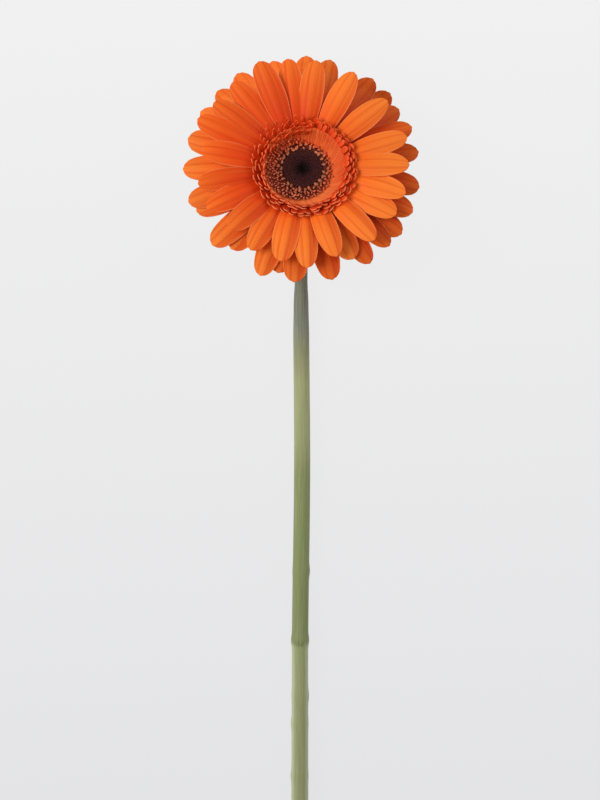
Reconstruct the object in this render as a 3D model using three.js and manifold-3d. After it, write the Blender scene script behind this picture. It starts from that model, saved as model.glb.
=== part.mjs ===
// A cut gerbera laid on its back on a table. The leafless stalk lies along the table, the neck bends up
// under the head, and the open face looks up, leaning a little away from the stalk. The tips of the
// farthest ray florets droop to the table and steady the flower.
//
// Millimetres, +Z up. The table is the plane z = 0 and +Y runs from the cut end to the head. The origin
// lies on the table under the middle of the flower. The head is made in a frame of its own, with its
// origin where the neck ends and +Z out through the middle of the face, and is tilted as one group.
import * as THREE from "three";
import { mergeVertices } from "three/addons/utils/BufferGeometryUtils.js";
import Module from "manifold-3d";

const wasm = await Module();
wasm.setup();

// Driving dimensions
const OVERALL_LENGTH = 400;
const HEAD_TILT = THREE.MathUtils.degToRad(16);
const HEAD_TO_FAR_TIPS = 55.5;
const NECK_BEND_RADIUS = 10;
const NECK_END_Y = OVERALL_LENGTH / 2 - HEAD_TO_FAR_TIPS;
const GAP = 0.3;

// Heights in the head's own frame, up from the end of the neck
const RECEPTACLE_TOP = 10.6;
const SEAT = RECEPTACLE_TOP + GAP;

const GOLDEN_ANGLE = Math.PI * (3 - Math.sqrt(5));

// A number from -1 to 1 that looks random and is the same each run, for item i of the draw named by salt.
function spread(i, salt) {
  const x = Math.sin(i * 12.9898 + salt * 78.233) * 43758.5453;
  return 2 * (x - Math.floor(x)) - 1;
}

// Reads a short table of [place, value] rows, easing from each row to the next.
function eased(rows, at) {
  if (at <= rows[0][0]) return rows[0][1];
  const next = rows.findIndex((row) => row[0] > at);
  if (next < 0) return rows[rows.length - 1][1];
  const [a, b] = [rows[next - 1], rows[next]];
  return THREE.MathUtils.lerp(a[1], b[1], THREE.MathUtils.smoothstep(at, a[0], b[0]));
}

// A closed geometry as a solid.
function solidOf(geometry) {
  geometry.deleteAttribute("normal");
  geometry.deleteAttribute("uv");
  const merged = mergeVertices(geometry);
  return new wasm.Manifold(
    new wasm.Mesh({
      numProp: 3,
      vertProperties: merged.attributes.position.array,
      triVerts: merged.index.array,
    }),
  );
}

// A closed geometry whose every vertex is moved by a formula, as a solid.
function shaped(geometry, place) {
  const position = geometry.getAttribute("position");
  const p = new THREE.Vector3();
  for (let i = 0; i < position.count; i += 1) {
    place(p.fromBufferAttribute(position, i));
    position.setXYZ(i, p.x, p.y, p.z);
  }
  return solidOf(geometry);
}

// The surface of a ring or cup turned about the head's axis, from a profile of [radius, height] points.
function lathed(profile, sides) {
  const points = profile.map(([r, h]) => new THREE.Vector2(r, h));
  return new THREE.LatheGeometry(points, sides).rotateX(Math.PI / 2);
}

function turned(profile, sides) {
  return solidOf(lathed(profile, sides));
}

// The collar and the disc lean towards the stalk, by these shares of their height above their seat.
const LEAN = new THREE.Vector2(0.08, -0.22);

function lean(p) {
  p.x += LEAN.x * (p.z - SEAT);
  p.y += LEAN.y * (p.z - SEAT);
}

// Joins solids into one body, with the pockets that they close between them filled.
function fuse(solids) {
  const joined = solids.reduce((whole, piece) => whole.add(piece));
  return joined.decompose().reduce((a, b) => (b.volume() > a.volume() ? b : a));
}

function meshOf(name, solid, colour, roughness) {
  const made = solid.getMesh();
  const geometry = new THREE.BufferGeometry();
  geometry.setAttribute("position", new THREE.BufferAttribute(made.vertProperties, made.numProp));
  geometry.setIndex(new THREE.BufferAttribute(made.triVerts, 1));
  geometry.computeVertexNormals();
  const material = new THREE.MeshStandardMaterial({ color: colour, roughness, metalness: 0 });
  const mesh = new THREE.Mesh(geometry, material);
  mesh.name = name;
  return mesh;
}

// A point of the head's frame, on the ray from the axis at an azimuth. Across is to the clockwise side.
function onHead(p, azimuth, radial, across, height) {
  const [c, s] = [Math.cos(azimuth), Math.sin(azimuth)];
  return p.set(radial * c + across * s, radial * s - across * c, height);
}

// A box of columns by rows cells, split along the same diagonals on its front and its back.
function evenBox(columns, rows) {
  const box = new THREE.BoxGeometry(2, 1, 2, columns, rows, 1);
  const back = box.groups[box.groups.length - 1];
  const index = box.index.array;
  for (let i = back.start; i < back.start + back.count; i += 6) {
    const [a, b, d, , c] = index.slice(i, i + 6);
    index.set([a, b, c, a, c, d], i);
  }
  return box;
}

// A thin blade that grows out from the head's axis, such as a petal or a bract, with the rows of its mesh
// closer together towards the tip. Its spine gives [radius, height] at s, from 0 at the root to 1 at the
// tip, and its width and crown are in millimetres at s. Rounding sets the corners of the tip back by that
// share of the length, sway bends the tip aside, and roll lifts one edge. Settle moves a point by what it
// needs at s and by where the underside lies there.
const TIP_CROWDING = 1.5;
const SLOPE_STEP = 0.01;

function blade(given) {
  const { azimuth, spine, width, thickness, crown, settle, columns, rows } = given;
  const { rounding = 0, roll = 0, sway = 0 } = given;
  const under = new THREE.Vector3();
  return shaped(evenBox(columns, rows), (p) => {
    const v = p.x;
    const row = 1 - Math.max(0.5 - p.y, 0) ** TIP_CROWDING;
    const setBack = rounding * THREE.MathUtils.smoothstep(row, 0.5, 1);
    const s = row - setBack * v * v;
    const [r, h] = spine(s);
    const [rBefore, hBefore] = spine(s - SLOPE_STEP);
    const [rAfter, hAfter] = spine(s + SLOPE_STEP);
    const slope = Math.atan2(hAfter - hBefore, rAfter - rBefore);
    const half = width(row - setBack) / 2;
    const arch = (crown ? crown(s) * (1 - v * v) : 0) + roll * v * half * s;
    const point = (to, side) => {
      const lift = arch + (side * thickness) / 2;
      const out = r - lift * Math.sin(slope);
      return onHead(to, azimuth, out, v * half + sway * s * s, h + lift * Math.cos(slope));
    };
    point(p, p.z);
    if (settle) settle(p, point(under, -1), s);
  });
}

// Scape: the round, leafless, softly swollen stalk, cut off at a slant. It lies on its swellings and is
// narrower towards the neck, which bends up into the head.
const SCAPE_SIDES = 12;
const CUT_END_Y = -OVERALL_LENGTH / 2;
const CUT_SLANT = 0.35;
const SWELLING = 0.42;
const SWELLING_LENGTH = 2.6;
const SWELLING_BACK = 0.35;
const SCAPE_RADII = [
  [-200, 4.05],
  [-60, 3.8],
  [72, 3.7],
  [85, 3.45],
  [98, 2.95],
  [134, 2.6],
];
const SCAPE_SWAY = [
  [-200, -1.1],
  [-80, -0.9],
  [15, 0.1],
  [90, -0.4],
  [134, 0],
];
// Each swelling's place along Y and the side that it stands out to, where one with no side goes all round.
const SWELLINGS = [
  [-176, Math.PI],
  [-155, 0],
  [-131.5, Math.PI],
  [-107.5, Math.PI],
  [-94.5, 0],
  [-69, null],
  [-37, 0],
];
const NECK_TURN = Math.PI / 2 - HEAD_TILT;
const BEND_START_Y = NECK_END_Y - NECK_BEND_RADIUS * Math.sin(NECK_TURN);
const NECK_AXIS_Z = SCAPE_RADII[SCAPE_RADII.length - 1][1] + SWELLING;
const NECK_END_Z = NECK_AXIS_Z + NECK_BEND_RADIUS * (1 - Math.cos(NECK_TURN));

function scapeRadius(y, angle) {
  let radius = eased(SCAPE_RADII, y);
  for (const [at, side] of SWELLINGS) {
    const near = Math.exp(-(((y - at) / SWELLING_LENGTH) ** 2));
    const facing = side === null ? 1 : Math.max(SWELLING_BACK, Math.cos(angle - side));
    radius += SWELLING * near * facing;
  }
  return radius;
}

// The stations of the stalk from the cut end to the head. Each is a place along Y and a turn of the neck.
const PLAIN_STATIONS = [-20, 0, 18, 36, 54, 72, 82, 90, 98, 116];
const NECK_STATIONS = 7;

function scapeStations() {
  const clear = SWELLING_LENGTH * 2.4;
  const swollen = SWELLINGS.flatMap(([at]) => [at - clear, at, at + clear]);
  const straight = [CUT_END_Y, ...swollen, ...PLAIN_STATIONS, BEND_START_Y].map((y) => [y, 0]);
  const bend = Array.from({ length: NECK_STATIONS }, (_, i) => [
    BEND_START_Y,
    (NECK_TURN * (i + 1)) / NECK_STATIONS,
  ]);
  return [...straight, ...bend];
}

function scape() {
  const stations = scapeStations();
  const cylinder = new THREE.CylinderGeometry(1, 1, 1, SCAPE_SIDES, stations.length - 1);
  return shaped(cylinder, (p) => {
    const [y, turn] = stations[Math.round((p.y + 0.5) * (stations.length - 1))];
    const radius = scapeRadius(y, Math.atan2(p.z, p.x));
    const rest = eased(SCAPE_RADII, y) + SWELLING;
    const [across, up] = [p.x * radius, p.z * radius];
    const bend = NECK_BEND_RADIUS - up;
    const slant = y === CUT_END_Y ? CUT_SLANT * (up + eased(SCAPE_RADII, y)) : 0;
    p.set(
      across + eased(SCAPE_SWAY, y),
      y + slant + bend * Math.sin(turn),
      rest + NECK_BEND_RADIUS - bend * Math.cos(turn),
    );
  });
}

// Involucre: the green cup under the flower, which carries the florets on its flat receptacle. Narrow
// pointed bracts cover it in overlapping turns and their tips spread under the ray florets.
const CUP_SIDES = 20;
const CUP_PROFILE = [
  [0, GAP],
  [2.7, GAP],
  [5.6, 1.2],
  [8.8, 3.2],
  [11.2, 6],
  [12.5, 8.6],
  [13, RECEPTACLE_TOP],
  [0, RECEPTACLE_TOP],
];
const BRACTS = 34;
const BRACT_LENGTH = 6.2;
const BRACT_WIDTH = 3;
const BRACT_THICKNESS = 0.7;
const BRACT_ROOTS = [1.2, 5.4];
const BRACT_SPREAD = 0.9;
const TOP_BRACT_SPREAD = 1.6;
const TOP_BRACT_SLANT = 0.13;

function cupRadius(height) {
  const wall = CUP_PROFILE.slice(1, -1);
  const next = Math.max(wall.findIndex(([, h]) => h >= Math.min(height, RECEPTACLE_TOP)), 1);
  const [[r0, h0], [r1, h1]] = [wall[next - 1], wall[next]];
  return THREE.MathUtils.mapLinear(Math.min(height, RECEPTACLE_TOP), h0, h1, r0, r1);
}

function bract(i) {
  const share = i / (BRACTS - 1);
  const root = THREE.MathUtils.lerp(...BRACT_ROOTS, share);
  const spine = (s) => {
    const height = root + BRACT_LENGTH * s * (1 - TOP_BRACT_SLANT * share * s);
    return [cupRadius(height) + BRACT_SPREAD * s ** 2 + TOP_BRACT_SPREAD * share * s ** 3, height];
  };
  const width = (s) => BRACT_WIDTH * (0.8 + 0.7 * s - 1.25 * s * s);
  const azimuth = i * GOLDEN_ANGLE;
  return blade({ azimuth, spine, width, thickness: BRACT_THICKNESS, columns: 1, rows: 2 });
}

function involucre() {
  const bracts = Array.from({ length: BRACTS }, (_, i) => bract(i));
  return fuse([turned(CUP_PROFILE, CUP_SIDES), ...bracts]);
}

// Ray florets: the long orange petals, in a front whorl that rises like a shallow bowl and a back whorl
// that lies flat behind it, all growing from one ring. Each petal's place is its azimuth about the face in
// degrees, from +X, how far its tip reaches from the axis and, in the front whorl, how high it lies among
// its neighbours, from -1 to 1. Those of the back whorl lie low and high in turn.
const FRONT_PETALS = [
  [13.5, 49.5, 0.2], [36.5, 49, 1], [60.5, 49.5, 0.7], [83, 49.5, 0], [97, 50.5, -1], [112, 52, 1],
  [130, 50, -0.5], [145.5, 49.5, 0.8], [157, 52, -0.8], [173, 46.5, 0.8], [193, 48.5, -0.2],
  [207, 48.5, -1], [225, 46, 1], [241, 48, -0.1], [258, 48.5, 1], [273, 50.5, -1], [289, 48, 1],
  [311, 50, 0.8], [329, 49.5, -1], [343, 49.5, 0], [359, 49, 1],
];
const BACK_PETALS = [
  [9, 54], [21.5, 54], [32.5, 53.5], [41.5, 55], [54, 55], [75.5, 54.5], [87.5, 55], [104, 54],
  [123, 55.5], [136, 54.5], [149.5, 54.5], [166, 54], [181, 54.5], [198.5, 54.5], [203.5, 52.5],
  [223, 55.5], [230, 50.5], [250.5, 55.5], [258, 51.5], [267, 55.5], [284.5, 55.5], [298, 50.5],
  [303.5, 55.5], [316, 55], [325, 55.5], [336, 55], [350.5, 54.5],
];
const FRONT = {
  salt: 1,
  petals: FRONT_PETALS,
  width: 11.4,
  root: 12.6,
  rise: 0.42,
  arch: 0.2,
  droops: false,
  columns: 4,
  rows: 4,
};
const BACK = {
  salt: 2,
  petals: BACK_PETALS,
  width: 12.2,
  root: 11.9,
  rise: 0.13,
  arch: 0.1,
  droops: true,
  columns: 2,
  rows: 5,
};
const RAY_ROOT = 11.5;
const RAY_THICKNESS = 0.75;
const RAY_CROWN = 1;
const RAY_ROLL = 0.07;
const RAY_SWAY = 0.7;
const WIDTH_SPREAD = 0.07;
const RISE_SPREAD = 0.012;
// A petal's outline, as shares of its length and of its greatest width. Its end is an oval, blunter than an
// ellipse.
const CLAW_WIDTH = 0.24;
const WIDEST_AT = 0.62;
const TIP_BLUNTNESS = 2.4;
const TIP_ROUNDING = 0.07;
// A petal lies higher or lower than its whorl by up to this much, from this share of its length.
const RAY_LAYER = 0.65;
const RAY_PARTED = 0.15;
// Back petals droop where they point away from the stalk, between these sines of the azimuth, and are
// pressed far enough to lie on the table with their last stretch.
const DROOP_SINES = [0.3, 0.75];
const DROOP_PRESS = 6;
const RAY_RING = [
  [10.5, SEAT],
  [12.9, SEAT],
  [13.1, 12.4],
  [12.4, 13.1],
  [11.2, 13.1],
  [10.5, SEAT],
];
const RAY_RING_SIDES = 30;

function petalOutline(s) {
  const toWidest = THREE.MathUtils.clamp(s / WIDEST_AT, 0, 1);
  const toTip = THREE.MathUtils.clamp((s - WIDEST_AT) / (1 - WIDEST_AT), 0, 1);
  const swell = CLAW_WIDTH + (1 - CLAW_WIDTH) * Math.sin((Math.PI / 2) * toWidest) ** 1.15;
  return swell * (1 - toTip ** TIP_BLUNTNESS) ** (1 / TIP_BLUNTNESS);
}

// How far a point of the head's frame stands above the table.
function aboveTable(y, z) {
  return NECK_END_Z - y * Math.sin(HEAD_TILT) + z * Math.cos(HEAD_TILT);
}

function lower(p, drop) {
  p.y += drop * Math.sin(HEAD_TILT);
  p.z -= drop * Math.cos(HEAD_TILT);
}

function rayFloret(whorl, i) {
  const [degrees, reach, layer = i % 2 ? 1 : -1] = whorl.petals[i];
  const azimuth = THREE.MathUtils.degToRad(degrees);
  const widest = whorl.width * (1 + WIDTH_SPREAD * spread(i, whorl.salt));
  const rise = whorl.rise + RISE_SPREAD * spread(i, whorl.salt + 2);
  const length = reach - RAY_ROOT;
  const spine = (s) => {
    const parted = RAY_LAYER * layer * THREE.MathUtils.smoothstep(s, 0, RAY_PARTED);
    return [RAY_ROOT + length * s, whorl.root + parted + length * s * (rise - whorl.arch * s)];
  };
  const [tipOut, tipUp] = spine(1);
  const droop = whorl.droops ? THREE.MathUtils.smoothstep(Math.sin(azimuth), ...DROOP_SINES) : 0;
  const drop = droop * (aboveTable(tipOut * Math.sin(azimuth), tipUp) + DROOP_PRESS);
  const settle = (p, under, s) => {
    lower(under, drop * s * s);
    lower(p, drop * s * s + Math.min(aboveTable(under.y, under.z), 0));
  };
  return blade({
    azimuth,
    spine,
    width: (s) => widest * petalOutline(s),
    thickness: RAY_THICKNESS,
    crown: (s) => RAY_CROWN * Math.sin(Math.PI * Math.min(s, 1)) ** 0.8,
    rounding: TIP_ROUNDING,
    roll: RAY_ROLL,
    sway: RAY_SWAY * spread(i, whorl.salt + 4),
    settle,
    columns: whorl.columns,
    rows: whorl.rows,
  });
}

function rayFlorets() {
  const petals = [FRONT, BACK].flatMap((whorl) => whorl.petals.map((_, i) => rayFloret(whorl, i)));
  return fuse([turned(RAY_RING, RAY_RING_SIDES), ...petals]);
}

// Trans florets: the raised collar of short broad straps inside the rays. Their tubes are packed into one
// flared ring with a smooth inner slope, and their tips turn outwards over its rim in rows.
const COLLAR = [
  [7.95, SEAT],
  [10.1, SEAT],
  [10.3, 13.6],
  [13.6, 15.6],
  [17.6, 18.4],
  [19.4, 20.8],
  [18.6, 21.2],
  [14.6, 17.4],
  [10.4, 13.9],
  [7.95, 11.6],
  [7.95, SEAT],
];
const COLLAR_SIDES = 20;
// Each row's number of straps, and where they leave the collar, bend and end, as [radius, height].
const TRANS_ROWS = [
  { salt: 7, count: 24, root: [17, 18.5], knee: [22.6, 21.7], tip: [24.6, 21.4] },
  { salt: 8, count: 22, root: [16.9, 18.6], knee: [21.2, 21.8], tip: [23.2, 21.3] },
  { salt: 9, count: 20, root: [16.8, 18.7], knee: [19.6, 22.4], tip: [21.4, 22.2] },
  { salt: 10, count: 18, root: [16.7, 18.8], knee: [18.4, 22.6], tip: [19.8, 22.9] },
];
const TRANS_THICKNESS = 0.65;
const TRANS_COVER = 0.84;
const TRANS_OUT_SPREAD = 0.5;
const TRANS_UP_SPREAD = 0.3;
const TRANS_TURN_SPREAD = 0.12;

function transFloret(row, i) {
  const [root, knee, tip] = [row.root, row.knee, row.tip].map((place) => new THREE.Vector2(...place));
  tip.x += TRANS_OUT_SPREAD * spread(i, row.salt);
  tip.y += TRANS_UP_SPREAD * spread(i, row.salt + 5);
  const curve = new THREE.QuadraticBezierCurve(root, knee, tip);
  const widest = ((2 * Math.PI * knee.x) / row.count) * TRANS_COVER;
  const turn = i + 0.5 * (row.salt % 2) + TRANS_TURN_SPREAD * spread(i, row.salt + 9);
  return blade({
    azimuth: (2 * Math.PI * turn) / row.count,
    spine: (s) => curve.getPoint(s).toArray(),
    width: (s) => widest * (0.7 + 1.2 * s - 1.5 * s * s),
    thickness: TRANS_THICKNESS,
    settle: lean,
    columns: 1,
    rows: 2,
  });
}

function transFlorets() {
  const straps = TRANS_ROWS.flatMap((row) =>
    Array.from({ length: row.count }, (_, i) => transFloret(row, i)),
  );
  return fuse([shaped(lathed(COLLAR, COLLAR_SIDES), lean), ...straps]);
}

// Disc florets: the small open flowers between the collar and the dark middle, raised as blunt knobs from
// a ring with a sloping top.
const DISC_WALL = [
  [6.2, SEAT],
  [7.5, SEAT],
  [7.5, 11.9],
  [10, 14.3],
  [14.1, 17.6],
];
const DISC_TOP = [
  [10.1, 15.3],
  [13.7, 18],
];
const DISC_SIDES = 52;
const DISC_RINGS = 6;
const DISC_RELIEF = 0.45;

// A ring or dome turned about the head's axis, with points raised from its top. Every second corner of
// the mesh there stands up and the others lie low, so that the points lie in crossing rows.
function studded({ wall, top, rings, sides, relief }) {
  const [inner, outer] = [top[0][0], top[top.length - 1][0]];
  const spacing = (outer - inner) / rings;
  const radii = Array.from({ length: rings + 1 }, (_, i) => outer - i * spacing);
  const closing = inner > 0 ? [wall[0]] : [];
  const profile = [...wall, ...radii.map((r) => [r, eased(top, r)]), ...closing];
  return shaped(lathed(profile, sides), (p) => {
    const r = Math.hypot(p.x, p.y);
    const onTop = r > spacing / 2 && Math.abs(p.z - eased(top, r)) < relief / 4;
    const turn = (Math.atan2(p.x, p.y) * sides) / 2;
    if (onTop) p.z += relief * Math.cos(turn) * Math.cos((Math.PI * (outer - r)) / spacing);
    lean(p);
  });
}

function discFlorets() {
  const [wall, top] = [DISC_WALL, DISC_TOP];
  return studded({ wall, top, rings: DISC_RINGS, sides: DISC_SIDES, relief: DISC_RELIEF });
}

// Disc buds: the dark, unopened florets in the middle, raised as small points from a low dome with a
// dimple.
const DOME_WALL = [
  [0, SEAT],
  [5.5, SEAT],
  [8.15, 14.1],
];
const DOME_TOP = [
  [0, 14.1],
  [3, 14.9],
  [6.2, 15.2],
  [8.5, 14.7],
];
const DOME_SIDES = 40;
const BUD_RINGS = 8;
const BUD_RELIEF = 0.28;

function discBuds() {
  const [wall, top] = [DOME_WALL, DOME_TOP];
  return studded({ wall, top, rings: BUD_RINGS, sides: DOME_SIDES, relief: BUD_RELIEF });
}

const flower = new THREE.Group();
const head = new THREE.Group();
head.position.set(0, NECK_END_Y, NECK_END_Z);
head.rotation.x = -HEAD_TILT;
head.add(
  meshOf("involucre", involucre(), 0x6f7f4a, 0.7),
  meshOf("ray_florets", rayFlorets(), 0xf26a22, 0.55),
  meshOf("trans_florets", transFlorets(), 0xe0501c, 0.55),
  meshOf("disc_florets", discFlorets(), 0xa8623a, 0.6),
  meshOf("disc_buds", discBuds(), 0x2b1719, 0.6),
);
flower.add(meshOf("scape", scape(), 0x9aa56a, 0.5), head);

export default flower;
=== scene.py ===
import math

import bpy
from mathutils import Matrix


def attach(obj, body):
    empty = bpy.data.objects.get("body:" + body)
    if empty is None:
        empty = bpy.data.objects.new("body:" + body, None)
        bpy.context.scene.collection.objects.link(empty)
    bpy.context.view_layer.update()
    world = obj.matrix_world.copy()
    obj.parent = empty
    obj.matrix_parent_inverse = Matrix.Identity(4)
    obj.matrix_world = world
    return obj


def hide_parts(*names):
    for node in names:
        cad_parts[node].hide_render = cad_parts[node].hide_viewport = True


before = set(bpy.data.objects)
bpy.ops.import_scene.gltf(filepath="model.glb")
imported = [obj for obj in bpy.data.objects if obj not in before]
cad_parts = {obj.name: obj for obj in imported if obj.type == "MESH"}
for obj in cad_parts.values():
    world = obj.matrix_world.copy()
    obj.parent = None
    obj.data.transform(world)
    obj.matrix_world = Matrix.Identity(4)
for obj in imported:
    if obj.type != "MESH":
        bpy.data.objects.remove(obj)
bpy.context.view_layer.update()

# Scape: the leafless stalk, one juicy shoot with a fine down, softly swollen at intervals and cut through
# at its lower end. It lies along the table, and its neck bends up into the head.
MM = 0.001
HEAD_TILT = math.radians(16)
CUT_END_Y = -200
NECK_END_Y = 144.5
NECK_BEND_RADIUS = 10
NECK_TURN = math.pi / 2 - HEAD_TILT
BEND_START_Y = NECK_END_Y - NECK_BEND_RADIUS * math.sin(NECK_TURN)
SCAPE_LENGTH = BEND_START_Y - CUT_END_Y + NECK_BEND_RADIUS * NECK_TURN
SWELLING = 0.42
SWELLING_LENGTH = 2.6
SWELLING_BACK = 0.35
CUT_SLANT = 0.35
CUT_DISH = 0.5
CUT_EDGE = 0.5
SCAPE_RADII = [(-200, 4.05), (-60, 3.8), (72, 3.7), (85, 3.45), (98, 2.95), (134, 2.6)]
SCAPE_SWAY = [(-200, -1.1), (-80, -0.9), (15, 0.1), (90, -0.4), (134, 0)]
SWELLINGS = [
    (-176, math.pi), (-155, 0), (-131.5, math.pi), (-107.5, math.pi), (-94.5, 0), (-69, None), (-37, 0),
]
NECK_END_Z = SCAPE_RADII[-1][1] + SWELLING + NECK_BEND_RADIUS * (1 - math.cos(NECK_TURN))
# Skin colours by the place along the stalk, which is paler below a dark scar. Near the neck they are
# darker and greyer, a painted shadow of the head.
SCAPE_COLOURS = [
    (-200, (143, 146, 107)), (-90, (149, 154, 111)), (-72, (150, 157, 107)), (-69, (126, 134, 86)),
    (-20, (128, 138, 84)), (8, (136, 143, 92)), (24, (166, 171, 122)), (50, (168, 170, 124)),
    (64, (138, 139, 106)), (76, (114, 120, 117)), (92, (96, 104, 107)), (148, (116, 132, 90)),
]
# Below this the flanks carry a painted highlight.
FLANK_HIGHLIGHT_BELOW = (-72, -69)
SCAR_Y = -70.6
SCAR_WIDTH = 1.3


class Field:
    """A number at every point of a node tree's surface. Arithmetic on it adds math nodes to the tree."""

    def __init__(self, tree, socket):
        self.tree, self.socket = tree, socket

    def __add__(self, other):
        return worked("ADD", self, other)

    def __radd__(self, other):
        return worked("ADD", other, self)

    def __sub__(self, other):
        return worked("SUBTRACT", self, other)

    def __rsub__(self, other):
        return worked("SUBTRACT", other, self)

    def __mul__(self, other):
        return worked("MULTIPLY", self, other)

    def __rmul__(self, other):
        return worked("MULTIPLY", other, self)

    def __truediv__(self, other):
        return worked("DIVIDE", self, other)

    def __pow__(self, other):
        return worked("POWER", self, other)

    def __neg__(self):
        return worked("MULTIPLY", self, -1)

    def __abs__(self):
        return worked("ABSOLUTE", self)


def feed(tree, place, value):
    if isinstance(value, Field):
        value = value.socket
    if isinstance(value, bpy.types.NodeSocket):
        tree.links.new(value, place)
    else:
        place.default_value = value


def worked(operation, *values):
    tree = next(value.tree for value in values if isinstance(value, Field))
    node = tree.nodes.new("ShaderNodeMath")
    node.operation = operation
    for place, value in zip(node.inputs, values):
        feed(tree, place, value)
    return Field(tree, node.outputs[0])


def sine(value):
    return worked("SINE", value)


def cosine(value):
    return worked("COSINE", value)


def lesser(a, b):
    return worked("MINIMUM", a, b)


def greater(a, b):
    return worked("MAXIMUM", a, b)


def hump(value, middle, width):
    """A bell of height 1 about the middle."""
    return worked("EXPONENT", -(((value - middle) / width) ** 2))


def smooth(value, low, high):
    """Eases from 0 at low to 1 at high."""
    node = value.tree.nodes.new("ShaderNodeMapRange")
    node.interpolation_type = "SMOOTHSTEP"
    for name, given in (("Value", value), ("From Min", low), ("From Max", high)):
        feed(value.tree, node.inputs[name], given)
    return Field(value.tree, node.outputs["Result"])


def eased(rows, at):
    """Reads a table of (place, value) rows, easing from each row to the next."""
    total = rows[0][1]
    for (low, before), (high, after) in zip(rows, rows[1:]):
        total = total + (after - before) * smooth(at, low, high)
    return total


class Growth:
    """A geometry tree in the making, with named sizes. Each step works on the surface of the one before."""

    def __init__(self, name, sizes):
        self.tree = bpy.data.node_groups.new(name, "GeometryNodeTree")
        for way in ("INPUT", "OUTPUT"):
            self.tree.interface.new_socket("Geometry", in_out=way, socket_type="NodeSocketGeometry")
        self.given = {}
        for size, value in sizes.items():
            socket = self.tree.interface.new_socket(size, in_out="INPUT", socket_type="NodeSocketFloat")
            self.given[socket.identifier] = value
        self.inputs = self.tree.nodes.new("NodeGroupInput")
        self.surface = self.inputs.outputs["Geometry"]

    def size(self, name):
        return Field(self.tree, self.inputs.outputs[name])

    def node(self, kind, settings=(), **given):
        node = self.tree.nodes.new(kind)
        for name, value in dict(settings).items():
            setattr(node, name, value)
        for name, value in given.items():
            feed(self.tree, node.inputs[name.replace("_", " ")], value)
        return node

    def step(self, kind, settings=(), **given):
        node = self.node(kind, settings, **given)
        for name in ("Geometry", "Points"):
            if name in node.inputs:
                feed(self.tree, node.inputs[name], self.surface)
                break
        self.surface = node.outputs[0]

    def start(self, kind, settings=(), **given):
        """Puts a mesh on each of the seeds."""
        shape = self.node(kind, settings, **given)
        self.step("GeometryNodeInstanceOnPoints", Instance=shape.outputs["Mesh"])
        self.step("GeometryNodeRealizeInstances")

    def start_blade(self, across, along):
        """Starts from a flat block, x from -1 to 1 and y from -0.5 to 0.5, of so many points each way."""
        self.start("GeometryNodeMeshCube", Size=(2, 1, 2), Vertices_X=across, Vertices_Y=along, Vertices_Z=2)

    def start_rod(self, around, along, **ends):
        """Starts from a cylinder of radius and length 1, with open ends unless their segments are given."""
        self.start(
            "GeometryNodeMeshCylinder", {"fill_type": "TRIANGLE_FAN" if ends else "NONE"},
            Vertices=around, Side_Segments=along, Radius=1, Depth=1, **ends,
        )

    def position(self):
        parts = self.tree.nodes.new("ShaderNodeSeparateXYZ")
        feed(self.tree, parts.inputs[0], self.tree.nodes.new("GeometryNodeInputPosition").outputs[0])
        return [Field(self.tree, part) for part in parts.outputs]

    def carried(self, name):
        node = self.node("GeometryNodeInputNamedAttribute", {"data_type": "FLOAT"}, Name=name)
        return Field(self.tree, node.outputs["Attribute"])

    def keep(self, **fields):
        """Stores numbers on the surface, for the material."""
        settings = {"data_type": "FLOAT", "domain": "POINT"}
        for name, field in fields.items():
            self.step("GeometryNodeStoreNamedAttribute", settings, Name=name, Value=field)

    def place(self, x, y, z):
        """Sets each point to a place given in millimetres."""
        joined = self.tree.nodes.new("ShaderNodeCombineXYZ")
        for part, value in zip(joined.inputs, (x, y, z)):
            feed(self.tree, part, value * MM)
        self.step("GeometryNodeSetPosition", Position=joined.outputs[0])

    def grown(self, name, plants, material, body, slot, *nodes):
        """Runs the tree once on its seeds and leaves a plain mesh, which rides on the body."""
        self.step("GeometryNodeSetShadeSmooth")
        self.step("GeometryNodeRealizeInstances")
        self.step("GeometryNodeSetMaterial", Material=material)
        output = self.tree.nodes.new("NodeGroupOutput")
        feed(self.tree, output.inputs[0], self.surface)
        piece = bpy.data.objects.new(name, seeds(name, plants))
        bpy.context.scene.collection.objects.link(piece)
        growth = piece.modifiers.new("growth", "NODES")
        growth.node_group = self.tree
        for identifier, value in self.given.items():
            growth[identifier] = value
        depsgraph = bpy.context.evaluated_depsgraph_get()
        shape = bpy.data.meshes.new_from_object(piece.evaluated_get(depsgraph), depsgraph=depsgraph)
        piece.modifiers.clear()
        piece.data = shape
        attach(piece, body)
        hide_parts(*nodes)


def seeds(name, plants):
    """A mesh of loose points at the origin, each with the numbers of one copy of the tree's shape."""
    mesh = bpy.data.meshes.new(name + "_seeds")
    mesh.from_pydata([(0, 0, 0)] * len(plants), [], [])
    for key in plants[0]:
        numbers = mesh.attributes.new(key, "FLOAT", "POINT")
        numbers.data.foreach_set("value", [plant[key] for plant in plants])
    return mesh


def colour(red, green, blue):
    """A colour given as on a screen, from 0 to 255, as the shader wants it."""
    return tuple(((c / 255 + 0.055) / 1.055) ** 2.4 for c in (red, green, blue)) + (1,)


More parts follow.
